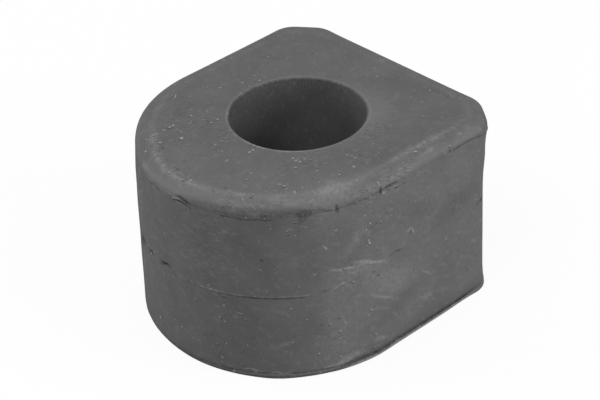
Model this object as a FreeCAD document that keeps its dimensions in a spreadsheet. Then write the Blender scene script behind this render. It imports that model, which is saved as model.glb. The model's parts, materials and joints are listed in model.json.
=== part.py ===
import FreeCAD, Part
import math
import os
import Sketcher

# Sway bar bushing: one solid rubber block of D section, moulded standing on its end face.
# The bar runs through the bore, along Z. The flat saddle face, towards +Y, bears on the
# chassis, and the round crown, towards -Y, fills the clamp bracket.
# The origin is on the bore axis, at the lower end face.

doc = FreeCAD.newDocument("sway_bar_bushing")
sizes = doc.addObject("Spreadsheet::Sheet", "sizes")

# Driving dimensions, in millimetres
DIMENSIONS = [
    ("width", 51.0, "across the two side walls, twice the crown's radius"),
    ("length", 36.0, "along the bore, from end face to end face"),
    ("bore_diameter", 24.0, "hole for the bar"),
    ("saddle_distance", 25.4, "bore axis to the flat saddle face"),
    ("crown_distance", 30.0, "bore axis to the top of the round crown"),
    ("corner_leg_side", 4.8, "saddle corner's cut, measured along the side wall"),
    ("corner_leg_saddle", 6.2, "saddle corner's cut, measured along the saddle face"),
    ("corner_blend", 5.0, "radius where the cut corner meets side wall and saddle face"),
    ("top_round", 2.2, "radius of the moulded edge round the upper end face"),
    ("rim_round", 0.3, "radius of the bore's two rims"),
    ("lip_out", 0.15, "how far the lower lip stands out of the wall"),
    ("lip_height", 1.0, "height of the lower lip"),
    ("lower_round", 0.4, "radius of the lip's edge at the lower end face"),
    ("crevice_depth", 0.3, "depth into the wall of the crevice above the lip"),
    ("crevice_height", 0.3, "height of the crevice above the lip"),
    ("seam_height", 17.4, "lower end face to the seam halfway up the wall"),
    ("seam_out", 0.12, "how far the middle seam stands out"),
    ("seam_band", 0.3, "height of the middle seam"),
    ("flash_out", 0.3, "how far the flash under the rounded edge stands out"),
    ("flash_band", 0.35, "height of the flash under the rounded edge"),
]
for row, (alias, value, meaning) in enumerate(DIMENSIONS, start=1):
    sizes.set(f"A{row}", meaning)
    sizes.set(f"B{row}", str(value))
    sizes.setAlias(f"B{row}", alias)
doc.recompute()

# Which point of a sketch edge a constraint holds, and the sketch's own origin and Y axis
START, END, CENTRE = 1, 2, 3
Y_AXIS = -2
ORIGIN = (-1, START)
# Two places closer than this, in millimetres, are the same place
SAME = 1e-4


def origin_plane(body, role):
    """The body's own origin plane that has this role."""
    return next(item for item in body.Origin.OriginFeatures if item.Role == role)


def level_sketch(body, name, height):
    """An empty sketch parallel to the end faces, at the height that the expression gives."""
    sketch = body.newObject("Sketcher::SketchObject", name)
    sketch.AttachmentSupport = (origin_plane(body, "XY_Plane"), [""])
    sketch.MapMode = "FlatFace"
    sketch.setExpression("AttachmentOffset.Base.z", height)
    return sketch


def bind(sketch, constraint, expression):
    """Add a dimensional constraint and tie its value to the sheet."""
    index = sketch.addConstraint(constraint)
    sketch.setExpression(f"Constraints[{index}]", expression)


def direction(angle):
    """Unit vector at this angle from +X, in radians."""
    return FreeCAD.Vector(math.cos(angle), math.sin(angle), 0)


def arc(centre, radius, start, end):
    """Counter-clockwise arc between two angles in radians."""
    circle = Part.Circle(centre, FreeCAD.Vector(0, 0, 1), radius)
    return Part.ArcOfCircle(circle, start, end)


def add_d_outline(sketch, grow):
    """Draw the closed D outline, moved outwards all round by the expression grow.

    Counter-clockwise from the left wall's foot: the crown's half circle, then the right wall,
    the cut corner between two blends, the saddle face, and the same corner and wall mirrored.
    """
    extra = float(sketch.evalExpression(grow))
    wall_x = sizes.width / 2
    crown = FreeCAD.Vector(0, wall_x - sizes.crown_distance, 0)
    lean = math.atan2(sizes.corner_leg_saddle, sizes.corner_leg_side)
    side_run = sizes.corner_blend * math.tan(lean / 2)
    saddle_run = sizes.corner_blend * math.tan((math.pi / 2 - lean) / 2)
    side_blend = FreeCAD.Vector(
        wall_x - sizes.corner_blend,
        sizes.saddle_distance - sizes.corner_leg_side - side_run,
        0,
    )
    saddle_blend = FreeCAD.Vector(
        wall_x - sizes.corner_leg_saddle - saddle_run,
        sizes.saddle_distance - sizes.corner_blend,
        0,
    )
    blend_radius = sizes.corner_blend + extra

    def corner_points(mirror):
        """Ends of the two blends at one corner; mirror is 1 for the right and -1 for the left."""
        points = [
            side_blend + direction(0) * blend_radius,
            side_blend + direction(lean) * blend_radius,
            saddle_blend + direction(lean) * blend_radius,
            saddle_blend + direction(math.pi / 2) * blend_radius,
        ]
        return [FreeCAD.Vector(mirror * point.x, point.y, 0) for point in points]

    right = corner_points(1)
    left = corner_points(-1)
    left_side_blend = FreeCAD.Vector(-side_blend.x, side_blend.y, 0)
    left_saddle_blend = FreeCAD.Vector(-saddle_blend.x, saddle_blend.y, 0)
    crown_right = crown + direction(0) * (wall_x + extra)
    crown_left = crown + direction(math.pi) * (wall_x + extra)
    edges = [
        arc(crown, wall_x + extra, math.pi, 2 * math.pi),
        Part.LineSegment(crown_right, right[0]),
        arc(side_blend, blend_radius, 0, lean),
        Part.LineSegment(right[1], right[2]),
        arc(saddle_blend, blend_radius, lean, math.pi / 2),
        Part.LineSegment(right[3], left[3]),
        arc(left_saddle_blend, blend_radius, math.pi / 2, math.pi - lean),
        Part.LineSegment(left[2], left[1]),
        arc(left_side_blend, blend_radius, math.pi - lean, math.pi),
        Part.LineSegment(left[0], crown_left),
    ]
    names = [
        "crown",
        "right_wall",
        "right_side_blend",
        "right_cut",
        "right_saddle_blend",
        "saddle",
        "left_saddle_blend",
        "left_cut",
        "left_side_blend",
        "left_wall",
    ]
    at = {name: sketch.addGeometry(edge) for name, edge in zip(names, edges)}

    # Each edge ends where the next one starts, and runs on in the same direction.
    for name, following in zip(names, names[1:] + names[:1]):
        sketch.addConstraint(Sketcher.Constraint("Tangent", at[name], END, at[following], START))

    sketch.addConstraint(Sketcher.Constraint("Vertical", at["right_wall"]))
    sketch.addConstraint(Sketcher.Constraint("Vertical", at["left_wall"]))
    sketch.addConstraint(Sketcher.Constraint("Horizontal", at["saddle"]))
    sketch.addConstraint(Sketcher.Constraint("PointOnObject", at["crown"], CENTRE, Y_AXIS))
    for name in ("right_saddle_blend", "left_saddle_blend", "left_side_blend"):
        sketch.addConstraint(Sketcher.Constraint("Equal", at["right_side_blend"], at[name]))
    sketch.addConstraint(
        Sketcher.Constraint("Symmetric", at["right_cut"], END, at["left_cut"], START, Y_AXIS)
    )

    bind(
        sketch,
        Sketcher.Constraint("Radius", at["crown"], wall_x + extra),
        f"sizes.width / 2 + {grow}",
    )
    bind(
        sketch,
        Sketcher.Constraint("DistanceY", at["crown"], CENTRE, *ORIGIN, -crown.y),
        "sizes.crown_distance - sizes.width / 2",
    )
    bind(
        sketch,
        Sketcher.Constraint("DistanceY", *ORIGIN, at["saddle"], START, right[3].y),
        f"sizes.saddle_distance + {grow}",
    )
    bind(
        sketch,
        Sketcher.Constraint("Radius", at["right_side_blend"], blend_radius),
        f"sizes.corner_blend + {grow}",
    )
    bind(
        sketch,
        Sketcher.Constraint("Angle", at["right_cut"], lean + math.pi / 2),
        "90 + atan(sizes.corner_leg_saddle / sizes.corner_leg_side) / 1 deg",
    )
    # The cut corner's distance from the bore axis follows from its two legs.
    bind(
        sketch,
        Sketcher.Constraint("Distance", *ORIGIN, at["right_cut"], right[1].dot(direction(lean))),
        "(sizes.width / 2 * sizes.corner_leg_side"
        " + (sizes.saddle_distance - sizes.corner_leg_side) * sizes.corner_leg_saddle)"
        f" / sqrt(sizes.corner_leg_side ^ 2 + sizes.corner_leg_saddle ^ 2) + {grow}",
    )


def add_slab(body, name, foot, height, grow="0"):
    """Add a D slab that stands at the height foot, grown outwards by grow."""
    sketch = level_sketch(body, f"{name}_outline", foot)
    add_d_outline(sketch, grow)
    slab = body.newObject("PartDesign::Pad", name)
    slab.Profile = sketch
    slab.setExpression("Length", height)
    doc.recompute()
    return slab


def round_edges(body, name, radius, chosen):
    """Round the edges of the body's last feature that the test chosen picks."""
    base = body.Tip
    picked = [
        f"Edge{number}" for number, edge in enumerate(base.Shape.Edges, start=1) if chosen(edge)
    ]
    fillet = body.newObject("PartDesign::Fillet", name)
    fillet.Base = (base, picked)
    fillet.setExpression("Radius", radius)
    doc.recompute()
    return fillet


def lies_at(edge, height):
    """True if the whole edge lies at this height above the lower end face."""
    box = edge.BoundBox
    return max(abs(box.ZMin - height), abs(box.ZMax - height)) < SAME


def is_bore_rim(edge):
    """True if the edge is a circle of the bore's size round the bore axis."""
    if not isinstance(edge.Curve, Part.Circle):
        return False
    centre = edge.Curve.Center
    off_axis = math.hypot(centre.x, centre.y)
    return off_axis < SAME and abs(edge.Curve.Radius - sizes.bore_diameter / 2) < SAME


bushing = doc.addObject("PartDesign::Body", "bushing")
bushing.Label = "bushing"

# The block, and the rounded edge that the mould's cavity gives its upper end face
add_slab(bushing, "block", "0", "sizes.length")
round_edges(
    bushing, "upper_edge", "sizes.top_round", lambda edge: lies_at(edge, sizes.length)
)

# Witness lines where the mould's plates meet: a band of flash where the rounded edge starts,
# a fine seam halfway up, and a lip round the lower end face
add_slab(
    bushing,
    "flash",
    "sizes.length - sizes.top_round",
    "sizes.flash_band",
    "sizes.flash_out",
)
add_slab(
    bushing,
    "seam",
    "sizes.seam_height - sizes.seam_band / 2",
    "sizes.seam_band",
    "sizes.seam_out",
)
add_slab(bushing, "lip", "0", "sizes.lip_height", "sizes.lip_out")
round_edges(bushing, "lower_edge", "sizes.lower_round", lambda edge: lies_at(edge, 0))

# The crevice that parts the lip from the wall above it: a ring between two D outlines
crevice_ring = level_sketch(
    bushing, "crevice_outline", "sizes.lip_height + sizes.crevice_height"
)
add_d_outline(crevice_ring, "2 * sizes.lip_out")
add_d_outline(crevice_ring, "-sizes.crevice_depth")
crevice = bushing.newObject("PartDesign::Pocket", "crevice")
crevice.Profile = crevice_ring
crevice.setExpression("Length", "sizes.crevice_height")
doc.recompute()

# The bore for the bar, right through
bore_circle = level_sketch(bushing, "bore_circle", "sizes.length")
rim = bore_circle.addGeometry(
    Part.Circle(FreeCAD.Vector(0, 0, 0), FreeCAD.Vector(0, 0, 1), sizes.bore_diameter / 2)
)
bore_circle.addConstraint(Sketcher.Constraint("Coincident", rim, CENTRE, *ORIGIN))
bind(
    bore_circle,
    Sketcher.Constraint("Diameter", rim, sizes.bore_diameter),
    "sizes.bore_diameter",
)
bore = bushing.newObject("PartDesign::Pocket", "bore")
bore.Profile = bore_circle
bore.Type = "ThroughAll"
doc.recompute()
round_edges(bushing, "bore_rims", "sizes.rim_round", is_bore_rim)

doc.recompute()

for item in doc.Objects:
    if "Invalid" in item.State or "Error" in item.State:
        raise RuntimeError(f"{item.Name} has not been built: {item.State}")
for item in doc.findObjects("Sketcher::SketchObject"):
    if item.solve() != 0:
        raise RuntimeError(f"{item.Name} does not solve")

os.makedirs("parts", exist_ok=True)
for body in doc.findObjects("PartDesign::Body"):
    shape = body.Shape
    if shape.isNull() or not shape.isValid() or len(shape.Solids) != 1:
        raise RuntimeError(f"{body.Label} is not one sound solid")
    shape.exportStep(f"parts/{body.Label}.step")
    print(f"{body.Label}: {shape.Volume:.1f} cubic millimetres")
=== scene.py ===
import json
import math

import bpy
import numpy as np
from mathutils import Matrix, Vector


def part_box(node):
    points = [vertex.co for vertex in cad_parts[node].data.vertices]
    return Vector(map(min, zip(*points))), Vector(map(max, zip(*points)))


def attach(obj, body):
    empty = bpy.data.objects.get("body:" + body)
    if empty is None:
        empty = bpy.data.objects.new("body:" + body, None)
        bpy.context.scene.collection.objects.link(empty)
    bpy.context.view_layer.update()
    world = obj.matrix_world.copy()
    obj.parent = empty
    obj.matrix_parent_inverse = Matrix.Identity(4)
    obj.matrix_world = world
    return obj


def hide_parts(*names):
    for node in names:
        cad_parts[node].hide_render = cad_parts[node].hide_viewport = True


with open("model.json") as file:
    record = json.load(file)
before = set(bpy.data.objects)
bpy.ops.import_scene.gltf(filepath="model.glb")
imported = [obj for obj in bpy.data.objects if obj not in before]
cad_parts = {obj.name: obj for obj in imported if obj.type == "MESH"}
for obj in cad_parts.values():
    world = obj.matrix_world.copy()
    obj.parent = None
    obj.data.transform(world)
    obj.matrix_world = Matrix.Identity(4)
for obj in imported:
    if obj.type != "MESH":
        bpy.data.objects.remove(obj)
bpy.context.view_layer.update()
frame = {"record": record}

# The camera
# It looks down on the block from the crown's side, past its right wall, from about 0.4 m with a
# long lens. Target, angles and distance were fitted to the block's outline in the photograph.
MM = 0.001
CAMERA_TARGET = Vector((0.52, -1.0, 18.57)) * MM
CAMERA_AZIMUTH = math.radians(47.99)
CAMERA_ELEVATION = math.radians(33.70)
CAMERA_ROLL = math.radians(-2.97)
CAMERA_DISTANCE = 385.7 * MM
CAMERA_LENS = 130.5


def direction_towards(azimuth, elevation):
    """Unit vector from the block towards this azimuth, 0 being -Y and 90 degrees +X."""
    return Vector(
        (
            math.sin(azimuth) * math.cos(elevation),
            -math.cos(azimuth) * math.cos(elevation),
            math.sin(elevation),
        )
    )


back = direction_towards(CAMERA_AZIMUTH, CAMERA_ELEVATION)
level_right = Vector((math.cos(CAMERA_AZIMUTH), math.sin(CAMERA_AZIMUTH), 0))
level_up = back.cross(level_right)
right = level_right * math.cos(CAMERA_ROLL) + level_up * math.sin(CAMERA_ROLL)
up = back.cross(right)
camera_data = bpy.data.cameras.new("camera")
camera_data.lens = CAMERA_LENS
camera_data.sensor_width = 36
camera = bpy.data.objects.new("camera", camera_data)
camera.matrix_world = Matrix.Translation(CAMERA_TARGET + back * CAMERA_DISTANCE) @ Matrix(
    (right, up, back)
).transposed().to_4x4()
bpy.context.scene.collection.objects.link(camera)
bpy.context.scene.camera = camera

# The rubber block
# One piece of rubber, compression moulded between stacked steel plates. The plates leave torn
# flash under the rounded edge, a fine seam halfway up and a lip round the foot.

# Its plain sizes in mm: the saddle corners' cut and blend, the roundings, and the lines' size.
FLASH_OUT = 0.3
CUT_SIDE = 4.8
CUT_SADDLE = 6.2
CUT_BLEND = 5.0
TOP_ROUND = 2.2
RIM_ROUND = 0.3
LIP_OUT = 0.15
LIP_HEIGHT = 1.0
LOWER_ROUND = 0.4
GROOVE_DEPTH = 0.3
GROOVE_HEIGHT = 0.3
SEAM_HEIGHT = 17.4
SEAM_OUT = 0.12

low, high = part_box("bushing")
LENGTH = high[2] / MM
WALL = high[0] / MM - FLASH_OUT
SADDLE = high[1] / MM - FLASH_OUT
CROWN = -low[1] / MM - FLASH_OUT
BORE = next(mount for mount in frame["record"]["mounts"] if mount["name"] == "bore")
BORE_RADIUS = BORE["dims"]["r_mm"]

CUT_LEAN = math.atan2(CUT_SADDLE, CUT_SIDE)
side_run = CUT_BLEND * math.tan(CUT_LEAN / 2)
saddle_run = CUT_BLEND * math.tan((math.pi / 2 - CUT_LEAN) / 2)
half_lengths = [
    WALL * math.pi / 2,
    SADDLE - CUT_SIDE - side_run + CROWN - WALL,
    CUT_BLEND * CUT_LEAN,
    math.hypot(CUT_SIDE, CUT_SADDLE) - side_run - saddle_run,
    CUT_BLEND * (math.pi / 2 - CUT_LEAN),
    WALL - CUT_SADDLE - saddle_run,
]
half_stations = np.cumsum([0, *half_lengths])
half_facings = np.array([-math.pi / 2, 0, 0, CUT_LEAN, CUT_LEAN, math.pi / 2, math.pi / 2])
HALF_GIRTH = half_stations[-1]
GIRTH = 2 * HALF_GIRTH


def d_outline(run):
    """The D outline at each distance run along it, from the crown's top, counter-clockwise.

    The wall's facing turns evenly along each arc and holds along each straight, and the points
    are the running sum of short chords square to it. Returns x, y and the facing angle.
    """
    stations = np.concatenate([-half_stations[:0:-1], half_stations])
    facings = np.concatenate([-math.pi - half_facings[:0:-1], half_facings])
    facing = np.interp(run, stations, facings)
    step = np.diff(run)
    middle = (facing[1:] + facing[:-1]) / 2
    turn = np.diff(facing)
    chord = step * np.sinc(turn / 2 / np.pi)
    x = np.concatenate([[0], np.cumsum(-chord * np.sin(middle))])
    y = np.concatenate([[0], np.cumsum(chord * np.cos(middle))])
    apex = np.searchsorted(run, 0)
    return x - x[apex], y - y[apex] - CROWN, facing


def ragged(run, shortest, seed):
    """Noise along the outline, about -1 to 1, that closes on itself.

    A sum of cosines of random phase, from one wave round the whole girth down to the shortest
    wavelength in mm, each weighted by the root of its wavelength.
    """
    waves = np.arange(1, int(GIRTH / shortest))
    phases = np.random.default_rng(seed).uniform(0, 2 * np.pi, waves.size)
    angles = 2 * np.pi * np.outer(run, waves) / GIRTH + phases
    noise = (np.cos(angles) / np.sqrt(waves)).sum(axis=1)
    return noise / (2 * noise.std())


def bell(distance, width):
    """Smooth bump of height 1: e to the power of minus half the square of distance over width."""
    return np.exp(-0.5 * (distance / width) ** 2)


def step_up(distance, width):
    """Smooth step from 0 to 1 where distance passes 0: half of 1 and its hyperbolic tangent."""
    return 0.5 + 0.5 * np.tanh(distance / width)


def band(value, low_end, high_end, soft):
    """1 between two values and 0 outside: a step up at the low end times one at the high end."""
    return step_up(value - low_end, soft) * step_up(high_end - value, soft)


# How the real skin departs from the plain block, in mm: how far the upper edge rounds in, with
# more of it on the left and at the far corners, the corners' waist and flare, the lean of the
# crown's left side, how far the front turns under, and the undercut foot of the two sides. The
# foot reaches up to FOOT_HEIGHT.
ROUND_IN = 2.4
ROUND_IN_MORE = 0.5
ROUND_IN_FAR = 0.2
CORNER_MIDDLE = 68.0
WAIST = 0.42
WAIST_HEIGHT = 13.5
FLARE = 0.39
LEAN_STATION = -18.0
LEAN_HEIGHTS = [0, 2, 6, 12, 17, 23, 26, 30, 34, 35]
LEAN_OUT = [0.32, 0.36, 0.27, 0.20, 0.04, -0.05, -0.18, -0.28, -0.58, -0.36]
TURN_STATIONS = [-25, -18, -15, -12, -8, -5, 0, 5, 9, 14, 18, 20, 24, 28, 31, 33]
TURN_IN = [0.25, 0.2, 0.24, 0.56, 0.64, 0.73, 0.68, 0.55]
TURN_IN += [0.52, 0.5, 0.25, 0.25, 0.45, 0.5, 0.3, 0.15]
FOOT_HEIGHT = 4.0
SIDE_HEIGHTS = [0, 0.12, 0.5, 0.62, 0.85, 1.1, 1.5, 2.0, 2.8]
SIDE_OUT = [-0.42, -0.33, -0.33, -0.52, -0.62, -0.52, -0.25, -0.08, 0]
# Marks over the top are placed as if it were this broad everywhere, from the edge to the bore.
TOP_BREADTH = 12.0
COLUMNS = 840


def moulding_lines(column, row, along):
    """The lines that the mould left round the wall, as relief in mm, painted shade and highlight.

    Each line is a bell or a band across the height. Its size and place wander along the outline
    with ragged noise, and it has its own torn, curled and chipped places. Places are in mm along
    the outline and up the wall. Painted shade is dark and painted highlight pale, from 0 to 1.
    """
    # The flash is torn away along the front and fades out where the crown leans. It sinks and
    # ends in a nub at each saddle corner, with a line of painted shade under it along both sides.
    in_torn = band(column, 4.0, 27.0, 1.0)
    on_left = bell(column - LEAN_STATION, 9)
    flash_sink = 0.9 * bell(column - CORNER_MIDDLE + 0.5, 2.2)
    flash_place = LENGTH - TOP_ROUND + 0.05 + 0.12 * along(5, 11) - flash_sink
    flash_size = np.clip(0.15 + 0.30 * along(1.0, 12), 0.0, 0.9) * FLASH_OUT
    flash_size = flash_size * (1 - in_torn) * (1 - on_left)
    nub = bell(abs(column) - CORNER_MIDDLE, 1.6)
    flash = (flash_size + 0.18 * nub) * bell(row - flash_place, 0.12)
    flash_shade = np.clip(0.1 + 0.6 * along(1.0, 13), 0, 1) * band(abs(column), 27, 57, 2)
    flash_shade = flash_shade + (1.0 + 0.3 * along(0.7, 18)) * band(abs(column), 56.6, 70, 0.6)
    under_flash = bell(row - flash_place + 0.15, 0.12) * np.clip(flash_shade, 0, 1.4)

    # Where it tore, a strip is left, set back and darkened with painted shade, with a step at its
    # foot and a wedge out of its end that are given painted shade too.
    torn_top = 35.0 + 0.15 * along(1.0, 15) - 0.25 * band(column, 20, 27, 2)
    torn_foot = 33.2 + 0.12 * along(2, 14)
    torn = in_torn * band(row, torn_foot, torn_top, 0.12)
    torn = torn * np.clip(0.75 + 0.30 * along(1.5, 17), 0, 1)
    torn_edge = band(column, 10.5, 20, 0.8) * bell(row - torn_foot + 0.06, 0.10)
    wedge_foot = 31.7 + 0.85 * (column - 24)
    wedge = band(column, 23.6, 26.4, 0.15) * band(row, wedge_foot, 34.3, 0.08)

    # At the left end of the tear the flash curls, with a painted highlight along it and painted
    # shade above and below, and to its right are a nick and a folded tab. The nick and the tab's
    # notch get painted shade, and the tab a painted highlight.
    curl_line = 33.65 + 0.35 * np.sin(1.1 * (column - 1.4))
    curl = band(column, 1.2, 4.3, 0.4) * bell(row - curl_line, 0.13)
    curl_shade = bell(column - 3.3, 1.0) * bell(row - curl_line - 0.36, 0.17)
    curl_shade = curl_shade + bell(column - 2.9, 1.1) * bell(row - curl_line + 0.34, 0.15)
    nick = bell(column - 30.5 + 0.10 * (row - 33.5), 0.17) * band(row, 32.8, 34.4, 0.15)
    tab = bell(column - 39.7, 0.35) * band(row, 33.0, 33.9, 0.12)
    tab_notch = bell(column - 39.1, 0.15) * band(row, 33.0, 34.4, 0.12)

    # The seam is strongest round the front, with painted shade below and a painted highlight
    # above, and pitted at its left, with painted shade in the pits.
    seam_place = SEAM_HEIGHT + 0.06 * along(7, 21)
    seam_share = 0.10 + 0.65 * band(column, 5.5, 24.5, 0.8)
    seam_size = SEAM_OUT * seam_share * np.clip(0.55 + 0.45 * along(2.0, 22), 0.0, 1.0)
    seam = seam_size * bell(row - seam_place, 0.10)
    seam_shade = bell(row - seam_place + 0.18, 0.11) * (0.35 + 0.65 * band(column, 13, 25, 1.0))
    seam_shade = seam_shade * band(column, -2, 25, 2.0)
    seam_highlight = bell(row - seam_place - 0.06, 0.10) * band(column, 1, 25, 2.0)
    seam_highlight = seam_highlight * np.clip(0.30 + 0.6 * along(0.8, 23), 0, 1)
    pit_row = row - 0.25 * np.sin(2 * np.pi * (column + 2.8) / 5.0)
    pits = (
        1.3 * bell(column + 2.8, 0.9) * bell(pit_row - 17.9, 0.36)
        + 1.1 * bell(column + 7.6, 0.6) * bell(pit_row - 17.6, 0.36)
        + 1.3 * bell(column + 12.8, 1.4) * bell(pit_row - 17.3, 0.45)
        + 0.3 * bell(column - 28.0, 0.8) * bell(row - 17.6, 0.2)
    )

    relief = (
        flash
        - 0.06 * under_flash
        - 0.06 * torn
        + 0.05 * torn_edge
        - 0.05 * wedge
        + 0.22 * curl
        - 0.12 * nick
        + 0.16 * tab
        - 0.15 * tab_notch
        + seam
        - 0.28 * pits
    )
    crease = (
        0.70 * under_flash
        + 0.20 * torn
        + 0.60 * torn_edge
        + 0.30 * wedge
        + 1.40 * curl_shade
        + 0.80 * nick
        + 0.90 * tab_notch
        + 0.80 * seam_shade
        + pits
    )
    bloom = curl + 0.8 * tab * (1 - tab_notch) + 1.1 * seam_highlight
    return relief, crease, bloom


# Marks round the upper edge, pale and dark. The dark ones are painted shade where the parting
# tore and on the rounding; the pale ones are partly rubbed-on bloom and partly painted highlight
# on the crest. Columns: the middle as distance along the outline and up the section, half
# length, half width, all in mm, the lean in degrees, and the strength, below 0 where darker.
EDGE_MARKS = (
    (13.5, 37.7, 0.9, 0.30, 0, 0.40),
    (20.2, 37.3, 1.3, 0.90, 0, 0.20),
    (23.0, 36.1, 1.2, 0.20, 0, 0.35),
    (24.7, 36.3, 0.9, 0.15, 0, 0.35),
    (22.0, 36.7, 1.6, 0.12, 2, 0.30),
    (23.4, 35.7, 1.2, 0.12, 0, 0.30),
    (32.8, 37.4, 5.2, 1.90, 4, 0.34),
    (30.0, 38.4, 3.0, 1.20, 40, 0.18),
    (39.9, 33.0, 1.1, 0.16, -28, 0.70),
    (41.2, 34.0, 1.6, 0.10, -3, -0.60),
    (68.2, 34.5, 2.6, 0.60, 0, -0.70),
    (50.0, 38.6, 1.0, 0.20, 20, 0.40),
    (56.8, 36.8, 1.3, 0.10, 0, -0.30),
    (51.7, 35.7, 2.1, 0.30, 3, 0.40),
    (59.1, 35.8, 0.6, 0.15, 0, 0.60),
    (-8.3, 35.0, 1.7, 0.45, 10, 0.40),
    (-4.6, 33.7, 1.2, 0.15, 25, -0.40),
    (-2.6, 33.9, 0.8, 0.20, 0, -0.35),
    (-10.0, 34.9, 0.7, 0.12, 0, -0.50),
    (-9.0, 35.3, 9.0, 1.10, 0, -0.10),
    (40.9, 34.1, 1.7, 0.12, -2, -0.75),
    (43.3, 32.8, 1.8, 0.12, -5, -0.60),
    (42.6, 33.3, 1.8, 0.14, -18, 0.45),
    (38.0, 34.1, 0.9, 0.10, -4, -0.50),
    (44.2, 34.1, 0.6, 0.10, -20, -0.50),
    (28.2, 33.4, 1.6, 0.10, -5, 0.35),
    (27.8, 34.2, 0.7, 0.14, -8, -0.50),
    (22.3, 34.3, 0.7, 0.10, 0, -0.45),
    (25.0, 34.5, 1.3, 0.12, -6, -0.35),
    (11.4, 34.7, 0.4, 0.25, 0, -0.45),
    (55.8, 33.9, 0.4, 0.30, 60, -0.60),
)


def edge_marks(column, climb, along):
    """The marks of the table above, as pale marks with painted highlight, and painted shade.

    Each is an ellipse with a soft edge, whose middle line wanders by a tenth of a millimetre.
    """
    pale = 0
    dark = 0
    for number, (station, place, half_length, half_width, lean, strength) in enumerate(EDGE_MARKS):
        turn = math.radians(lean)
        lengthwise = (column - station) * math.cos(turn) + (climb - place) * math.sin(turn)
        across = (climb - place) * math.cos(turn) - (column - station) * math.sin(turn)
        across = across + 0.10 * along(0.8, 100 + number)
        patch = abs(strength) * bell(lengthwise, 0.7 * half_length) * bell(across, 0.7 * half_width)
        if strength > 0:
            pale = pale + patch
        else:
            dark = dark + patch
    return pale, dark


# Where the skin was dragged into scales. On the wall: from and to along the outline, how soft
# those ends are, from and to up the section, how soft those are, and the strength. Over the top:
# the middle along, the half length, the middle up, the half width, and the strength.
DRAGGED_BANDS = (
    (-14, 1, 2, 32.9, 34.4, 0.3, 0.5),
    (4.5, 13, 1.5, 19, 34, 1.5, 0.4),
    (33, 47, 2.5, 32.5, 35.8, 0.5, 0.75),
    (-20, 2, 2, 36.4, 38.8, 0.4, 0.4),
    (9, 22, 1.5, 33.2, 37.0, 0.4, 0.4),
    (46, 62, 3, 36.0, 38.4, 0.4, 0.45),
)
DRAGGED_SPOTS = (
    (-18.8, 4.0, 45.8, 1.5, 0.6),
    (-24.3, 3.0, 40.4, 0.9, 0.5),
    (-10.5, 4.0, 48.8, 0.8, 0.6),
    (-4.2, 3.0, 46.4, 1.2, 0.5),
    (-11.3, 2.0, 41.4, 0.9, 0.4),
    (24.3, 4.0, 48.4, 0.8, 0.35),
    (33.0, 4.0, 46.0, 1.2, 0.35),
    (42.0, 3.0, 41.4, 1.0, 0.4),
    (54.0, 5.0, 46.4, 1.8, 0.5),
)


def dragged(column, climb):
    """How much the skin was dragged into scales, from 0 to 1: the sum of both tables.

    A place on the wall is a band along times a band up, and one over the top is two bells.
    """
    share = 0
    for start, end, soft, lowest, highest, soft_up, strength in DRAGGED_BANDS:
        reach = band(column, start, end, soft) * band(climb, lowest, highest, soft_up)
        share = share + strength * reach
    for station, half_length, place, half_width, strength in DRAGGED_SPOTS:
        spot = bell(column - station, half_length) * bell(climb - place, half_width)
        share = share + strength * spot
    return np.clip(share, 0, 1)


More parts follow.
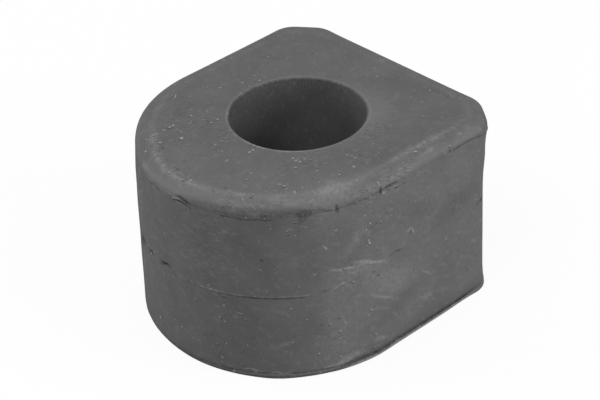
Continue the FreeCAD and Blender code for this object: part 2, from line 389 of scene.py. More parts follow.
def foot(column, row, along):
    """How the wall ends at the floor, as relief in mm, painted shade and painted highlight.

    Round the crown it turns under over two millimetres, past a low lip with a groove above it.
    Along the two sides it runs in under the wall to a ragged crevice over a thin flat strip,
    and at each saddle corner it comes out to a tip.
    """
    side = band(abs(column), 31.5, 64.5, 2.0)
    lip_top = LIP_HEIGHT + 0.10 * along(1.5, 31)
    lip = LIP_OUT * band(row, -1, lip_top, 0.05) * (0.2 + 0.8 * band(column, 12, 30, 2))
    groove_size = np.clip(0.35 + 0.5 * along(1.0, 32), 0.0, 1.0)
    groove = groove_size * band(row, lip_top, lip_top + GROOVE_HEIGHT, 0.06)
    turn = np.interp(column, TURN_STATIONS, TURN_IN)
    front = lip - GROOVE_DEPTH * groove - turn * np.clip(1 - row / 1.9, 0, 1) ** 2

    strip_out = (
        0.10 * bell(abs(column) - 37, 3)
        - 0.13 * bell(abs(column) - 60, 2.5)
        + 0.14 * bell(abs(column) - CORNER_MIDDLE, 2)
    )
    under = np.interp(row, SIDE_HEIGHTS, SIDE_OUT) + strip_out * band(row, -1, 0.8, 0.1)
    tip = 0.14 * bell(abs(column) - CORNER_MIDDLE + 1, 1.6) * bell(row - 1.0, 0.7)
    relief = side * under + (1 - side) * front + tip

    # The crevice's painted shade and the strip's painted highlight end just before the corner,
    # whose own edge gets painted shade, as does the lowest edge. The groove and the turned-under
    # front get painted shade too.
    before_corner = step_up(61.5 - abs(column), 0.8)
    ragged_top = 1.05 + 0.22 * along(0.7, 33)
    crevice = band(row, 0.58 + 0.05 * along(1.0, 36), ragged_top, 0.08) * before_corner
    crevice = crevice * np.clip(0.75 + 0.40 * along(1.2, 37), 0, 1)
    shadow = 0.30 * step_up(row - 1.0, 0.2) * bell(row - 1.0, 0.9)
    front_shade = 0.5 * groove + 0.22 * step_up(1.8 - row, 0.6)
    lowest_edge = band(abs(column), 31.5, 72, 2) * step_up(0.18 - row, 0.06)
    corner_edge = band(abs(column), 62, 70, 1) * step_up(0.7 - row, 0.2)
    crease = (
        side * (crevice + shadow)
        + (1 - side) * front_shade * band(column, -22, 64, 5)
        + 0.35 * lowest_edge
        + 0.45 * corner_edge
    )
    strip = side * band(row, 0.2, 0.58, 0.06) * before_corner
    strip = strip * np.clip(0.75 + 0.4 * along(0.8, 34), 0, 1)
    # A broken painted highlight runs along the lip's top, and pale shreds of flash lie above it.
    lip_highlight = band(row, 0.7, 1.05, 0.06) * np.clip(0.1 + 0.9 * along(1.2, 35), 0, 1)
    lip_highlight = lip_highlight * (1 - side) * band(column, 8, 30, 2)
    shreds = band(row, 1.25, 2.0, 0.12) * np.clip(1.6 * along(0.6, 38), 0, 1)
    shreds = shreds * band(column, 14, 36, 2) * (1 - 0.5 * side)
    bloom = 1.2 * strip + 0.7 * lip_highlight + 0.9 * shreds
    return relief, crease, bloom


def slack(column, row, along):
    """How the rubber departs from the plain D block as it shrank and sagged, in mm.

    The corners have a waist, zero at the floor and at twice its own height, and a top that
    flares. The left of the crown leans in at its top, and the whole wall is faintly wavy.
    """
    from_corner = abs(column) - CORNER_MIDDLE
    waist = WAIST * bell(from_corner, 5.5) * np.clip(1 - (row / WAIST_HEIGHT - 1) ** 6, 0, 1)
    flare = FLARE * bell(from_corner, 4.5) * np.clip((row - 29) / 4, 0, 1) ** 2
    flare = flare * step_up(35.4 - row, 0.4)
    lean = bell(column - LEAN_STATION, 7) * np.interp(row, LEAN_HEIGHTS, LEAN_OUT)
    wave = 0.05 * along(25, 41) * np.cos(row / 9) + 0.04 * along(18, 42) * np.sin(row / 6)
    return flare - waist + lean + wave


# The painted highlight on the crest of the upper rounding: distance along the outline, place
# up the section, width and strength.
CREST = np.array(
    [
        (-30, 38.1, 0.35, 0.15),
        (-17, 37.9, 0.45, 0.30),
        (-12, 37.6, 0.48, 0.34),
        (-7, 37.3, 0.36, 0.60),
        (-2, 37.1, 0.34, 0.58),
        (3, 37.3, 0.30, 0.46),
        (7, 37.5, 0.35, 0.38),
        (12, 37.6, 0.45, 0.26),
        (20, 37.5, 0.55, 0.28),
        (26, 37.7, 0.60, 0.25),
        (32, 37.7, 1.00, 0.30),
        (38, 37.7, 0.55, 0.30),
        (43, 37.7, 0.45, 0.36),
        (48, 37.7, 0.50, 0.44),
        (54, 37.3, 0.45, 0.50),
        (58, 37.2, 0.35, 0.42),
        (60, 37.4, 0.25, 0.15),
        (62, 37.6, 0.25, 0.35),
        (67, 37.5, 0.35, 0.20),
        (90, 37.8, 0.35, 0.12),
    ]
).T


def crest_highlight_and_pale_side(column, row, climb, along):
    """How much painted highlight lies on the upper rounding and its crest, and how pale one side
    is.

    A thin sheet of painted highlight lies on the rounding, and a paler patch runs in over the
    front of the top. The crest is a painted highlight, a line along it. The wall to the right of
    the crown is paler all over, and most where it starts.
    """
    sheet_foot = 35.25 + 0.15 * along(1.5, 53)
    sheet = (0.04 + 0.13 * band(column, -4, 30, 3)) * band(climb, sheet_foot, 38.4, 0.3)
    sheet = sheet + 0.12 * band(column, -8, 34, 4) * band(climb, 38.0, 44.0, 1.5)
    place, width, size = (np.interp(column, CREST[0], values) for values in CREST[1:])
    place = place + 0.12 * along(3, 52)
    size = size * np.clip(0.75 + 0.40 * along(1.2, 51), 0, 2)
    crest = size * bell(climb - place, width)
    paler_right_wall = (
        0.13 * step_up(column - 27 + 0.25 * np.clip(10 - row, 0, 10), 0.8)
        + 0.12 * step_up(column - 28, 0.5) * bell(column - 30.5, 3.5) * band(row, 3, 20, 2)
        + 0.06 * bell(column - 23, 4)
    )
    return sheet + crest + paler_right_wall * step_up(33.8 - climb, 0.3)


# How much painted shade darkens the bore towards both of its ends, and how much more on the
# side that faces away from the light. Bearings are from +X round the bore, in radians.
BORE_SHADE = 0.45
BORE_FAR_SHADE = 0.14
BORE_FAR_BEARING = -2.3
RIM_BRIGHT_BEARING = -1.25
HALO_BEARING = 0.75


def bore_marks(bearing, height, blend, outside, along):
    """The bore's painted shade, the painted highlight of its upper rim, and the pale halo round it.

    The shade grows with the square of the distance from the bore's middle height. The rim's
    painted highlight is brightest round one bearing, and the halo is a bell round another.
    """
    near_end = np.abs(height - LENGTH / 2) / (LENGTH / 2)
    far_side = np.clip(np.cos(bearing - BORE_FAR_BEARING), 0, 1)
    shade = BORE_SHADE * near_end**2 + BORE_FAR_SHADE * far_side
    shade = shade * (blend == 1) * (outside < RIM_ROUND)
    rim_size = 0.30 + 0.60 * bell(np.sin((bearing - RIM_BRIGHT_BEARING) / 2), 0.35)
    rim = rim_size * (blend > 0.98) * (outside > 0) * np.clip(0.7 + 0.5 * along(1.5, 61), 0, 1.2)
    halo = 0.30 * bell(bearing - HALO_BEARING, 0.55) * bell(blend - 1, 0.12) * (blend < 1)
    return shade, (rim + halo) * (height > LENGTH / 2)


def section_rows():
    """The section that is carried round the outline, as rows of four values each.

    They are the height, how far the row lies in from the wall as a share of the rounding, how
    far it has blended from the outline (0) to the bore (1), and how far it lies outside the
    bore's wall. The rows go out over the foot, up the wall, in over the top and down the bore,
    close together only where a line runs. The edges are quarter circles.
    """

    def rows(height, share_in, blend, outside):
        """Rows side by side, where a single number holds for all of them."""
        return np.stack(np.broadcast_arrays(height, share_in, blend, outside), axis=1).astype(float)

    lower_share = LOWER_ROUND / ROUND_IN
    underside = rows(0, lower_share, np.linspace(1, 0, 5, endpoint=False), RIM_ROUND)
    quarter = np.linspace(-np.pi / 2, 0, 5, endpoint=False)
    lower_edge = rows(
        LOWER_ROUND + LOWER_ROUND * np.sin(quarter), lower_share * (1 - np.cos(quarter)), 0, 0
    )
    heights = np.concatenate(
        [
            np.linspace(LOWER_ROUND, 2.2, 15, endpoint=False),
            np.linspace(2.2, 16.8, 7, endpoint=False),
            np.linspace(16.8, 18.8, 14, endpoint=False),
            np.linspace(18.8, 31.6, 7, endpoint=False),
            np.linspace(31.6, LENGTH - TOP_ROUND, 17, endpoint=False),
        ]
    )
    wall = rows(heights, 0, 0, 0)
    quarter = np.radians([*range(0, 30, 3), *range(30, 90, 6)])
    upper_edge = rows(
        LENGTH - TOP_ROUND + TOP_ROUND * np.sin(quarter), 1 - np.cos(quarter), 0, 0
    )
    shares = np.array([0, 0.02, 0.04, 0.06, 0.085, 0.11, 0.15, 0.3, 0.5, 0.75, 0.9, 0.97, 0.985])
    top = rows(LENGTH, 1, shares, RIM_ROUND)
    quarter = np.linspace(0, np.pi / 2, 4, endpoint=False)
    upper_rim = rows(
        LENGTH - RIM_ROUND * (1 - np.cos(quarter)), 0, 1, RIM_ROUND * (1 - np.sin(quarter))
    )
    bore = rows(np.linspace(LENGTH - RIM_ROUND, RIM_ROUND, 8, endpoint=False), 0, 1, 0)
    lower_rim = rows(
        RIM_ROUND * (1 - np.sin(quarter)), 0, 1, RIM_ROUND * (1 - np.cos(quarter))
    )
    return np.concatenate(
        [underside, lower_edge, wall, upper_edge, top, upper_rim, bore, lower_rim]
    )


def block_grid():
    """The whole block as one closed grid, outline by section, in mm, with its marks and its
    painted shade and painted highlight.

    Each point lies on the D outline, moved along the wall's facing by the row and by the relief,
    and is then blended towards the bore's circle at the same bearing from the bore.
    """
    run = np.linspace(-HALF_GIRTH, HALF_GIRTH, COLUMNS, endpoint=False)
    column = run[:, None]
    x, y, facing = (values[:, None] for values in d_outline(run))
    height, share_in, blend, outside = section_rows().T
    row = height[None, :]

    def along(shortest, seed):
        """Ragged noise along the outline, the same all the way up."""
        return ragged(run, shortest, seed)[:, None]

    on_wall = (blend == 0) & (height < LENGTH)
    line_relief, line_shade, line_highlight = moulding_lines(column, row, along)
    foot_relief, foot_shade, foot_highlight_and_pale = foot(column, row, along)
    round_in = ROUND_IN + ROUND_IN_MORE * bell(column + 12, 8)
    round_in = round_in + ROUND_IN_FAR * step_up(abs(column) - 45, 5)
    distance_out = (
        line_relief * on_wall
        + foot_relief * (height < FOOT_HEIGHT)
        + slack(column, row, along)
        - round_in * share_in
    )
    bearing = np.arctan2(y, x)
    ring = BORE_RADIUS + outside
    points = np.stack(
        [
            (1 - blend) * (x + distance_out * np.cos(facing)) + blend * ring * np.cos(bearing),
            (1 - blend) * (y + distance_out * np.sin(facing)) + blend * ring * np.sin(bearing),
            np.broadcast_to(height, distance_out.shape),
        ],
        axis=2,
    )

    section_run = np.hypot(np.diff(height), np.diff(ROUND_IN * share_in + TOP_BREADTH * blend))
    climb = np.concatenate([[0], np.cumsum(section_run)])
    climb = climb - (climb - height)[height >= LOWER_ROUND][0]
    bore_painted_shade, bore_highlight_and_halo = bore_marks(bearing, height, blend, outside, along)
    crease = (line_shade + foot_shade) * on_wall + bore_painted_shade
    bloom = crest_highlight_and_pale_side(column, row, climb[None, :], along) * (height > 0) * (blend < 1)
    bloom = bloom + (line_highlight + foot_highlight_and_pale) * on_wall + bore_highlight_and_halo
    mark_pale_and_highlight, mark_dark_and_shade = edge_marks(column, climb[None, :], along)
    near_upper_edge = (height > 30) & (blend < 0.95)
    crease = np.clip(crease + mark_dark_and_shade * near_upper_edge, 0, 1)
    bloom = np.clip(bloom + mark_pale_and_highlight * near_upper_edge, 0, 1)
    scuffed = dragged(column, climb[None, :]) * (height > 0)
    return run, climb, points, crease, bloom, scuffed


def mesh_from_grid(name, points):
    """A mesh of a grid that closes on itself both ways, scaled from mm to metres."""
    columns, rows = points.shape[:2]
    number = np.arange(columns * rows).reshape(columns, rows)
    ahead = np.roll(number, -1, axis=0)
    above = np.roll(number, -1, axis=1)
    both = np.roll(ahead, -1, axis=1)
    faces = np.stack([number, ahead, both, above], axis=2).reshape(-1, 4)
    mesh = bpy.data.meshes.new(name)
    mesh.from_pydata((points.reshape(-1, 3) * MM).tolist(), [], faces.tolist())
    mesh.shade_smooth()
    return mesh


def store(mesh, name, values):
    """Keep one number per vertex as a named attribute for the material."""
    attribute = mesh.attributes.new(name, "FLOAT", "POINT")
    attribute.data.foreach_set("value", values.reshape(-1).astype(np.float32))


def store_unrolled(mesh, run, climb):
    """Keep where each face corner lies on the unrolled wall, in mm along and up the section.

    The corners of the last faces run on past the end, so that the pattern does not fold back.
    """
    ahead = np.append(run[1:], run[0] + GIRTH)
    above = np.append(climb[1:], 2 * climb[-1] - climb[-2])
    left_right = np.stack([run, ahead, ahead, run], axis=1)[:, None, :]
    down_up = np.stack([climb, climb, above, above], axis=1)[None, :, :]
    place = np.stack(np.broadcast_arrays(left_right, down_up, 0.0), axis=3)
    attribute = mesh.attributes.new("unrolled", "FLOAT_VECTOR", "CORNER")
    attribute.data.foreach_set("vector", place.reshape(-1).astype(np.float32))


run, climb, points, crease, bloom, scuffed = block_grid()
block_mesh = mesh_from_grid("rubber_block", points)
store(block_mesh, "crease", crease)
store(block_mesh, "bloom", bloom)
store(block_mesh, "scuffed", scuffed)
store_unrolled(block_mesh, run, climb)
block = bpy.data.objects.new("rubber_block", block_mesh)
bpy.context.scene.collection.objects.link(block)


# Its material is natural rubber filled with carbon black, as moulded: matt charcoal grey, with
# a pale bloom where it was handled and specks of talc. Painted shade and painted highlight are
# laid into its colour as well.
def linear(code):
    """Linear colour of an sRGB hex code: a straight start, then a power of 2.4."""
    parts = [int(code[i : i + 2], 16) / 255 for i in (1, 3, 5)]
    return [v / 12.92 if v <= 0.04045 else ((v + 0.055) / 1.055) ** 2.4 for v in parts] + [1]


# The pale colour is bloom and painted highlight; the dark one is painted shade and dark marks.
RUBBER = linear("#636363")
RUBBER_DARK = linear("#585858")
HIGHLIGHT_AND_BLOOM_PALE = linear("#878787")
SHADE_AND_MARK_DARK = linear("#242424")
TALC = linear("#aaaaaa")


def add_node(tree, kind, settings, links, **properties):
    """Add one node: set its properties and its inputs' values, then link its inputs."""
    node = tree.nodes.new(kind)
    for name, value in properties.items():
        setattr(node, name, value)
    for socket, value in settings.items():
        node.inputs[socket].default_value = value
    for socket, source in links.items():
        tree.links.new(source, node.inputs[socket])
    return node


rubber = bpy.data.materials.new("moulded_rubber")
rubber.use_nodes = True
tree = rubber.node_tree
tree.nodes.clear()
place = add_node(tree, "ShaderNodeTexCoord", {}, {}).outputs["Object"]
place_mm = add_node(
    tree, "ShaderNodeVectorMath", {1: (1000, 1000, 1000)}, {0: place}, operation="MULTIPLY"
).outputs[0]
# Mottling of the carbon black, about 6 mm across.
mottle = add_node(
    tree,
    "ShaderNodeTexNoise",
    {"Scale": 1 / 6, "Detail": 5, "Roughness": 0.62, "Distortion": 0.6},
    {"Vector": place_mm},
)
tone = add_node(
    tree,
    "ShaderNodeMapRange",
    {"From Min": 0.3, "From Max": 0.7},
    {"Value": mottle.outputs["Fac"]},
)
colour = add_node(
    tree,
    "ShaderNodeMix",
    {"A": RUBBER_DARK, "B": RUBBER},
    {"Factor": tone.outputs[0]},
    data_type="RGBA",
)
# Scuffs and smears of handling on the wall, given as the marks round the upper edge are, and
# at the right corner a line of painted shade along the seam and a notch of painted shade. Half
# a millimetre of warp breaks up their edges.
SCUFFS = (
    (31.5, 21.4, 2.9, 0.34, -6, 0.75),
    (36.6, 20.7, 3.8, 0.45, -24, 0.62),
    (34.8, 20.2, 4.8, 1.50, -9, 0.25),
    (30.5, 18.2, 2.7, 0.24, 16, 0.60),
    (28.1, 26.6, 0.8, 0.24, -55, 1.00),
    (39.2, 12.1, 4.8, 0.35, -33, 0.40),
    (41.0, 15.0, 7.0, 3.40, -20, 0.26),
    (49.8, 6.6, 1.6, 1.00, -16, 0.30),
    (49.7, 11.8, 2.1, 0.25, -40, 0.45),
    (38.2, 3.7, 1.7, 0.65, -12, 0.40),
    (31.1, 10.6, 1.8, 0.25, -80, 0.30),
    (20.8, 7.8, 1.9, 0.60, 18, 0.25),
    (45.5, 22.8, 0.75, 0.28, 33, 0.85),
    (46.6, 22.3, 0.85, 0.24, 95, 0.75),
    (46.1, 23.0, 0.45, 0.22, -20, 0.60),
    (46.1, 22.2, 0.45, 0.28, 80, -0.70),
    (64.4, 19.5, 2.0, 0.32, 0, -0.75),
    (66.0, 21.2, 0.6, 0.35, 0, -0.90),
    (42.5, 20.3, 1.9, 0.18, 3, 0.15),
    (42.6, 19.9, 1.9, 0.16, 3, -0.80),
    (36.0, 27.2, 1.3, 0.35, -22, 0.30),
    (33.5, 26.2, 3.4, 1.20, 48, 0.15),
    (-5.9, 21.9, 2.1, 0.20, 28, 0.30),
    (-10.6, 28.5, 2.4, 0.35, 43, 0.30),
    (-11.5, 24.5, 2.0, 0.35, 34, 0.20),
    (10.7, 29.7, 3.2, 0.80, 38, 0.12),
    (57.2, 22.5, 7.5, 2.60, 18, -0.16),
    (43.7, 9.0, 4.8, 1.80, 22, -0.16),
    (48.0, 25.8, 4.8, 1.80, -17, -0.12),
    (37.0, 7.0, 3.5, 1.40, 10, -0.12),
    (19.5, 1.5, 1.9, 0.30, 0, 0.90),
    (14.5, 1.9, 2.4, 0.16, 0, 0.55),
    (32.0, 2.5, 3.2, 0.90, 8, 0.55),
    (29.0, 1.5, 1.8, 0.22, 5, 0.70),
)
unrolled = add_node(tree, "ShaderNodeAttribute", {}, {}, attribute_name="unrolled")
warp_noise = add_node(
    tree,
    "ShaderNodeTexNoise",
    {"Scale": 1 / 2, "Detail": 4, "Roughness": 0.65},
    {"Vector": place_mm},
)
warp = add_node(
    tree,
    "ShaderNodeVectorMath",
    {1: (1.2, 1.2, 0.0), 2: (-0.6, -0.6, 0.0)},
    {0: warp_noise.outputs["Color"]},
    operation="MULTIPLY_ADD",
)
warped = add_node(
    tree,
    "ShaderNodeVectorMath",
    {},
    {0: unrolled.outputs["Vector"], 1: warp.outputs[0]},
    operation="ADD",
)
scuff_sum = None
for along_wall, up_wall, half_length, half_width, lean, strength in SCUFFS:
    spot = add_node(
        tree,
        "ShaderNodeMapping",
        {
            "Location": (along_wall, up_wall, 0),
            "Rotation": (0, 0, math.radians(lean)),
            "Scale": (half_length, half_width, 1),
        },
        {"Vector": warped.outputs[0]},
        vector_type="TEXTURE",
    )
    gap = add_node(tree, "ShaderNodeVectorMath", {}, {0: spot.outputs[0]}, operation="LENGTH")
    fade = add_node(
        tree,
        "ShaderNodeMapRange",
        {"From Min": 1.3, "From Max": 0.2, "To Max": strength},
        {"Value": gap.outputs["Value"]},
        interpolation_type="SMOOTHSTEP",
    )
    if scuff_sum is None:
        scuff_sum = fade
    else:
        scuff_sum = add_node(
            tree, "ShaderNodeMath", {}, {0: scuff_sum.outputs[0], 1: fade.outputs[0]}
        )
scuff_pale = add_node(tree, "ShaderNodeMapRange", {}, {"Value": scuff_sum.outputs[0]})
scuff_dark = add_node(
    tree, "ShaderNodeMapRange", {"From Max": -1.0}, {"Value": scuff_sum.outputs[0]}
)
# Where the skin was dragged, it stands in slanting scales about a millimetre long. On the top
# they are broader, and are placed on the object itself, not on the unrolled wall.
scale_place = add_node(
    tree,
    "ShaderNodeMapping",
    {"Rotation": (0, 0, math.radians(-20)), "Scale": (1.3, 0.27, 1.0)},
    {"Vector": warped.outputs[0]},
    vector_type="TEXTURE",
)
top_scale_place = add_node(
    tree,
    "ShaderNodeMapping",
    {"Rotation": (0, 0, math.radians(62)), "Scale": (0.9, 0.55, 1.0)},
    {"Vector": place_mm},
    vector_type="TEXTURE",
)
place_parts = add_node(tree, "ShaderNodeSeparateXYZ", {}, {"Vector": place_mm})
on_top = add_node(
    tree,
    "ShaderNodeMapRange",
    {"From Min": LENGTH - 0.2, "From Max": LENGTH - 0.05},
    {"Value": place_parts.outputs["Z"]},
)
any_scale_place = add_node(
    tree,
    "ShaderNodeMix",
    {},
    {"Factor": on_top.outputs[0], "A": scale_place.outputs[0], "B": top_scale_place.outputs[0]},
    data_type="VECTOR",
)
scale_noise = add_node(
    tree,
    "ShaderNodeTexNoise",
    {"Scale": 1.0, "Detail": 2, "Distortion": 0.4},
    {"Vector": any_scale_place.outputs["Result"]},
)
scuffed_value = add_node(tree, "ShaderNodeAttribute", {}, {}, attribute_name="scuffed")
scale_pale = add_node(
    tree,
    "ShaderNodeMapRange",
    {"From Min": 0.55, "From Max": 0.70, "To Max": 0.75},
    {"Value": scale_noise.outputs["Fac"]},
)
scale_dark = add_node(
    tree,
    "ShaderNodeMapRange",
    {"From Min": 0.44, "From Max": 0.32, "To Max": 0.75},
    {"Value": scale_noise.outputs["Fac"]},
)
# Fainter rubs of a few millimetres lie all over it.
rub_place = add_node(
    tree,
    "ShaderNodeMapping",
    {"Rotation": (0, 0, math.radians(-28)), "Scale": (2.0, 1.2, 1.0)},
    {"Vector": warped.outputs[0]},
    vector_type="TEXTURE",
)
rub_noise = add_node(
    tree, "ShaderNodeTexNoise", {"Scale": 1.0, "Detail": 3}, {"Vector": rub_place.outputs[0]}
)
rubbed_pale = add_node(
    tree,
    "ShaderNodeMapRange",
    {"From Min": 0.56, "From Max": 0.76, "To Max": 0.32},
    {"Value": rub_noise.outputs["Fac"]},
)
wiped_pale = add_node(
    tree, "ShaderNodeMath", {}, {0: rubbed_pale.outputs[0], 1: scuff_pale.outputs[0]}
)
handled_pale = add_node(
    tree,
    "ShaderNodeMath",
    {},
    {0: scuffed_value.outputs["Fac"], 1: scale_pale.outputs[0], 2: wiped_pale.outputs[0]},
    operation="MULTIPLY_ADD",
)
handled_dark = add_node(
    tree,
    "ShaderNodeMath",
    {},
    {0: scuffed_value.outputs["Fac"], 1: scale_dark.outputs[0], 2: scuff_dark.outputs[0]},
    operation="MULTIPLY_ADD",
)
# Bloom and painted highlight, and painted shade and dark marks, break up into patches of
# about 0.7 mm, longer across the edge.
patch_place = add_node(
    tree,
    "ShaderNodeVectorMath",
    {1: (1 / 0.6, 1 / 0.9, 1.0)},
    {0: warped.outputs[0]},
    operation="MULTIPLY",
)
patches = add_node(
    tree,
    "ShaderNodeTexNoise",
    {"Scale": 1.0, "Detail": 4, "Roughness": 0.6},
    {"Vector": patch_place.outputs[0]},
)
pale_share = add_node(
    tree,
    "ShaderNodeMapRange",
    {"From Min": 0.35, "From Max": 0.65, "To Min": 0.6, "To Max": 1.35},
    {"Value": patches.outputs["Fac"]},
)
dark_share = add_node(
    tree,
    "ShaderNodeMapRange",
    {"From Min": 0.35, "From Max": 0.65, "To Min": 1.3, "To Max": 0.6},
    {"Value": patches.outputs["Fac"]},
)
# This attribute holds painted highlight on the crest, lines, foot and rim, with pale marks.
highlight_and_bloom_value = add_node(tree, "ShaderNodeAttribute", {}, {}, attribute_name="bloom")
all_pale = add_node(
    tree, "ShaderNodeMath", {}, {0: highlight_and_bloom_value.outputs["Fac"], 1: handled_pale.outputs[0]}
)
paleness = add_node(
    tree,
    "ShaderNodeMath",
    {},
    {0: all_pale.outputs[0], 1: pale_share.outputs[0]},
    operation="MULTIPLY",
    use_clamp=True,
)
# This attribute holds painted shade in hollows, grooves, the crevice and the bore, with dark marks.
shade_and_marks_value = add_node(tree, "ShaderNodeAttribute", {}, {}, attribute_name="crease")
all_dark = add_node(
    tree, "ShaderNodeMath", {}, {0: shade_and_marks_value.outputs["Fac"], 1: handled_dark.outputs[0]}
)
darkness = add_node(
    tree,
    "ShaderNodeMath",
    {},
    {0: all_dark.outputs[0], 1: dark_share.outputs[0]},
    operation="MULTIPLY",
    use_clamp=True,
)
pale = add_node(
    tree,
    "ShaderNodeMix",
    {"B": HIGHLIGHT_AND_BLOOM_PALE},
    {"Factor": paleness.outputs[0], "A": colour.outputs["Result"]},
    data_type="RGBA",
)
shaded_and_marked = add_node(
    tree,
    "ShaderNodeMix",
    {"B": SHADE_AND_MARK_DARK},
    {"Factor": darkness.outputs[0], "A": pale.outputs["Result"]},
    data_type="RGBA",
)
# Talc lies in drifts of about 5 mm, less of it in the bore, behind it and on the wall.
drift = add_node(
    tree,
    "ShaderNodeTexNoise",
    {"Scale": 1 / 5, "Detail": 2, "Roughness": 0.6},
    {"Vector": place_mm},
)
drift_share = add_node(
    tree,
    "ShaderNodeMapRange",
    {"From Min": 0.42, "From Max": 0.62, "To Min": 0.4, "To Max": 1.25},
    {"Value": drift.outputs["Fac"]},
)
from_axis = add_node(
    tree, "ShaderNodeVectorMath", {1: (1, 1, 0)}, {0: place_mm}, operation="MULTIPLY"
)
bore_gap = add_node(
    tree, "ShaderNodeVectorMath", {}, {0: from_axis.outputs[0]}, operation="LENGTH"
)
outside_bore = add_node(
    tree,
    "ShaderNodeMapRange",
    {"From Min": BORE_RADIUS, "From Max": BORE_RADIUS + RIM_ROUND, "To Min": 0.6},
    {"Value": bore_gap.outputs["Value"]},
)
less_behind = add_node(
    tree,
    "ShaderNodeMapRange",
    {"From Min": -6.0, "From Max": 12.0, "To Min": 1.0, "To Max": 0.62},
    {"Value": place_parts.outputs["Y"]},
)
lying = add_node(
    tree,
    "ShaderNodeMath",
    {},
    {0: drift_share.outputs[0], 1: less_behind.outputs[0]},
    operation="MULTIPLY",
)
height_part = add_node(
    tree,
    "ShaderNodeMapRange",
    {"From Min": 34.5, "From Max": 36.0, "To Min": 0.78, "To Max": 1.0},
    {"Value": place_parts.outputs["Z"]},
)
settled = add_node(
    tree,
    "ShaderNodeMath",
    {},
    {0: lying.outputs[0], 1: height_part.outputs[0]},
    operation="MULTIPLY",
)
dust_share = add_node(
    tree,
    "ShaderNodeMath",
    {},
    {0: settled.outputs[0], 1: outside_bore.outputs[0]},
    operation="MULTIPLY",
)
# It is ragged specks up to about 0.6 mm across, each with a painted shadow at one side, and
# flakes that lie in swirls, twice as long as they are wide.
shape_noise = add_node(
    tree, "ShaderNodeTexNoise", {"Scale": 1 / 0.3, "Detail": 1}, {"Vector": place_mm}
)
speck_place = add_node(
    tree,
    "ShaderNodeVectorMath",
    {1: (0.45, 0.45, 0.45)},
    {0: shape_noise.outputs["Color"], 2: place_mm},
    operation="MULTIPLY_ADD",
)
shadow_place = add_node(
    tree, "ShaderNodeVectorMath", {1: (-0.14, 0.18, 0.16)}, {0: speck_place.outputs[0]}
)
swirl_noise = add_node(
    tree, "ShaderNodeTexNoise", {"Scale": 1 / 3, "Detail": 0}, {"Vector": place_mm}
)
swirl = add_node(
    tree,
    "ShaderNodeVectorMath",
    {1: (5.0, 5.0, 0.0)},
    {0: swirl_noise.outputs["Color"], 2: unrolled.outputs["Vector"]},
    operation="MULTIPLY_ADD",
)
flake_place = add_node(
    tree,
    "ShaderNodeVectorMath",
    {1: (1 / 1.1, 1 / 0.5, 0.0)},
    {0: swirl.outputs[0]},
    operation="MULTIPLY",
)
scuffed_top = add_node(
    tree,
    "ShaderNodeMath",
    {},
    {0: scuffed_value.outputs["Fac"], 1: on_top.outputs[0]},
    operation="MULTIPLY",
)
# Specks, flakes and the specks' painted shadows: in space or on the unrolled wall, the cell and
# the greatest radius in mm, the share of cells left empty, and the place. Where the top is
# scuffed, that share is smaller.
TALC_KINDS = (
    ("3D", 0.85, 0.33, 0.52, speck_place),
    ("2D", 1.00, 0.28, 0.92, flake_place),
    ("3D", 0.85, 0.36, 0.47, shadow_place),
)
FILLED_WHERE_SCUFFED = 0.25
covers = []
for dimensions, cell, radius, empty, kind_place in TALC_KINDS:
    specks = add_node(
        tree,
        "ShaderNodeTexVoronoi",
        {"Scale": 1 / cell},
        {"Vector": kind_place.outputs[0]},
        voronoi_dimensions=dimensions,
    )
    luck = add_node(tree, "ShaderNodeSeparateColor", {}, {"Color": specks.outputs["Color"]})
    empty_here = add_node(
        tree,
        "ShaderNodeMapRange",
        {"To Min": empty, "To Max": empty - FILLED_WHERE_SCUFFED},
        {"Value": scuffed_top.outputs[0]},
    )
    size = add_node(
        tree,
        "ShaderNodeMapRange",
        {"From Max": 1.0, "To Max": radius / cell},
        {"Value": luck.outputs["Red"], "From Min": empty_here.outputs[0]},
    )
    drifted = add_node(
        tree,
        "ShaderNodeMath",
        {},
        {0: size.outputs[0], 1: dust_share.outputs[0]},
        operation="MULTIPLY",
    )
    inside = add_node(
        tree,
        "ShaderNodeMath",
        {},
        {0: drifted.outputs[0], 1: specks.outputs["Distance"]},
        operation="SUBTRACT",
    )
    thickness = add_node(
        tree,
        "ShaderNodeMapRange",
        {"To Min": 0.08, "To Max": 0.85},
        {"Value": luck.outputs["Green"]},
    )
    covers.append(
        add_node(
            tree,
            "ShaderNodeMapRange",
            {"From Max": 0.06},
            {"Value": inside.outputs[0], "To Max": thickness.outputs[0]},
        )
    )
specks_cover, flakes_cover, shadow_cover = covers
dust = add_node(
    tree,
    "ShaderNodeMath",
    {},
    {0: specks_cover.outputs[0], 1: flakes_cover.outputs[0]},
    operation="MAXIMUM",
)
speck_shade = add_node(
    tree, "ShaderNodeMath", {1: 0.8}, {0: shadow_cover.outputs[0]}, operation="MULTIPLY"
)
shaded = add_node(
    tree,
    "ShaderNodeMix",
    {"B": SHADE_AND_MARK_DARK},
    {"Factor": speck_shade.outputs[0], "A": shaded_and_marked.outputs["Result"]},
    data_type="RGBA",
)
dusted = add_node(
    tree,
    "ShaderNodeMix",
    {"B": TALC},
    {"Factor": dust.outputs[0], "A": shaded.outputs["Result"]},
    data_type="RGBA",
)
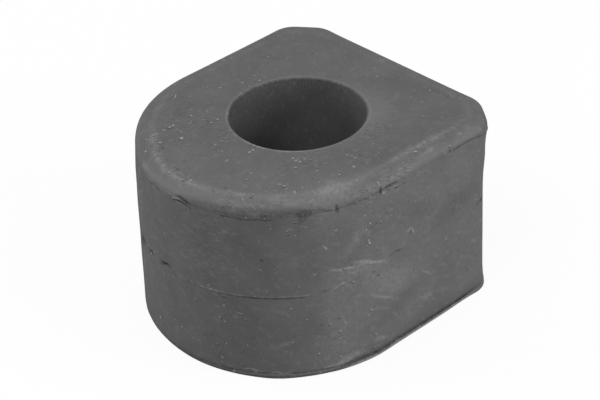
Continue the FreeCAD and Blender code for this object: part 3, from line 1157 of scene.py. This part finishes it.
# A grain from the mould steel, in tone and relief, with the talc standing on it. The real one
# is finer, and is drawn at 0.4 mm so that it shows.
grain = add_node(
    tree,
    "ShaderNodeTexNoise",
    {"Scale": 1 / 0.4, "Detail": 3, "Roughness": 0.6},
    {"Vector": place_mm},
)
grain_tone = add_node(
    tree,
    "ShaderNodeMapRange",
    {"From Min": 0.3, "From Max": 0.7, "To Min": 0.93, "To Max": 1.07},
    {"Value": grain.outputs["Fac"]},
)
grained = add_node(
    tree,
    "ShaderNodeVectorMath",
    {},
    {0: dusted.outputs["Result"], "Scale": grain_tone.outputs[0]},
    operation="SCALE",
)
grain_bump = add_node(
    tree,
    "ShaderNodeBump",
    {"Strength": 0.5, "Distance": 0.02 * MM},
    {"Height": grain.outputs["Fac"]},
)
dust_bump = add_node(
    tree,
    "ShaderNodeBump",
    {"Strength": 0.8, "Distance": 0.15 * MM},
    {"Height": dust.outputs[0], "Normal": grain_bump.outputs[0]},
)
sheen_lost = add_node(
    tree,
    "ShaderNodeMapRange",
    {"To Min": 0.58, "To Max": 0.85},
    {"Value": paleness.outputs[0]},
)
shader = add_node(
    tree,
    "ShaderNodeBsdfPrincipled",
    {"IOR": 1.5, "Specular IOR Level": 0.4},
    {
        "Base Color": grained.outputs[0],
        "Roughness": sheen_lost.outputs[0],
        "Normal": dust_bump.outputs[0],
    },
)
add_node(tree, "ShaderNodeOutputMaterial", {}, {"Surface": shader.outputs["BSDF"]})
block_mesh.materials.append(rubber)
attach(block, "root")
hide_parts("bushing")

# The studio
# A white floor and a plain sky, which the camera sees as white, with soft boxes at the right, at
# the left and above the front. The floor gives back little light, as the block's foot is dark.
# Sizes are in metres. The white share is how much of the floor's white is its own glow, which
# only the camera sees; the rest is paper, which keeps the block's shadow.
FLOOR_HALF = 1.5
FLOOR = linear("#ffffff")
FLOOR_UNSEEN = linear("#8c8c8c")
FLOOR_WHITE_SHARE = 0.92
WORLD_LEVEL = 0.72
SOFT_BOX_DISTANCE = 0.9
SOFT_BOX_SIZE = 0.5
floor_mesh = bpy.data.meshes.new("floor")
floor_mesh.from_pydata(
    [
        (-FLOOR_HALF, -FLOOR_HALF, 0),
        (FLOOR_HALF, -FLOOR_HALF, 0),
        (FLOOR_HALF, FLOOR_HALF, 0),
        (-FLOOR_HALF, FLOOR_HALF, 0),
    ],
    [],
    [(0, 1, 2, 3)],
)
floor = bpy.data.objects.new("floor", floor_mesh)
bpy.context.scene.collection.objects.link(floor)
paper = bpy.data.materials.new("backdrop_paper")
paper.use_nodes = True
paper_tree = paper.node_tree
paper_tree.nodes.clear()
path = add_node(paper_tree, "ShaderNodeLightPath", {}, {})
paper_colour = add_node(
    paper_tree,
    "ShaderNodeMix",
    {"A": FLOOR_UNSEEN, "B": FLOOR},
    {"Factor": path.outputs["Is Camera Ray"]},
    data_type="RGBA",
)
paper_shader = add_node(
    paper_tree, "ShaderNodeBsdfDiffuse", {}, {"Color": paper_colour.outputs["Result"]}
)
white_light = add_node(paper_tree, "ShaderNodeEmission", {"Strength": 1.0}, {})
seen_share = add_node(
    paper_tree,
    "ShaderNodeMath",
    {1: FLOOR_WHITE_SHARE},
    {0: path.outputs["Is Camera Ray"]},
    operation="MULTIPLY",
)
paper_mix = add_node(
    paper_tree,
    "ShaderNodeMixShader",
    {},
    {0: seen_share.outputs[0], 1: paper_shader.outputs[0], 2: white_light.outputs[0]},
)
add_node(paper_tree, "ShaderNodeOutputMaterial", {}, {"Surface": paper_mix.outputs[0]})
floor_mesh.materials.append(paper)

world = bpy.data.worlds.new("studio")
bpy.context.scene.world = world
world.use_nodes = True
world_tree = world.node_tree
world_tree.nodes.clear()
world_path = add_node(world_tree, "ShaderNodeLightPath", {}, {})
world_level = add_node(
    world_tree,
    "ShaderNodeMapRange",
    {"To Min": WORLD_LEVEL, "To Max": 1.0},
    {"Value": world_path.outputs["Is Camera Ray"]},
)
sky = add_node(world_tree, "ShaderNodeBackground", {}, {"Strength": world_level.outputs[0]})
add_node(world_tree, "ShaderNodeOutputWorld", {}, {"Surface": sky.outputs[0]})


def soft_box(name, azimuth, elevation, power):
    """A square lamp that faces the block from this azimuth and elevation, in degrees and watts."""
    lamp = bpy.data.lights.new(name, "AREA")
    lamp.size = SOFT_BOX_SIZE
    lamp.energy = power
    towards = direction_towards(math.radians(azimuth), math.radians(elevation))
    holder = bpy.data.objects.new(name, lamp)
    holder.location = towards * SOFT_BOX_DISTANCE
    holder.rotation_mode = "QUATERNION"
    holder.rotation_quaternion = towards.to_track_quat("Z", "Y")
    bpy.context.scene.collection.objects.link(holder)


soft_box("right", azimuth=115, elevation=15, power=4.5)
soft_box("left", azimuth=-50, elevation=15, power=3.1)
soft_box("front", azimuth=20, elevation=50, power=2.0)

bpy.context.scene.view_settings.view_transform = "Standard"
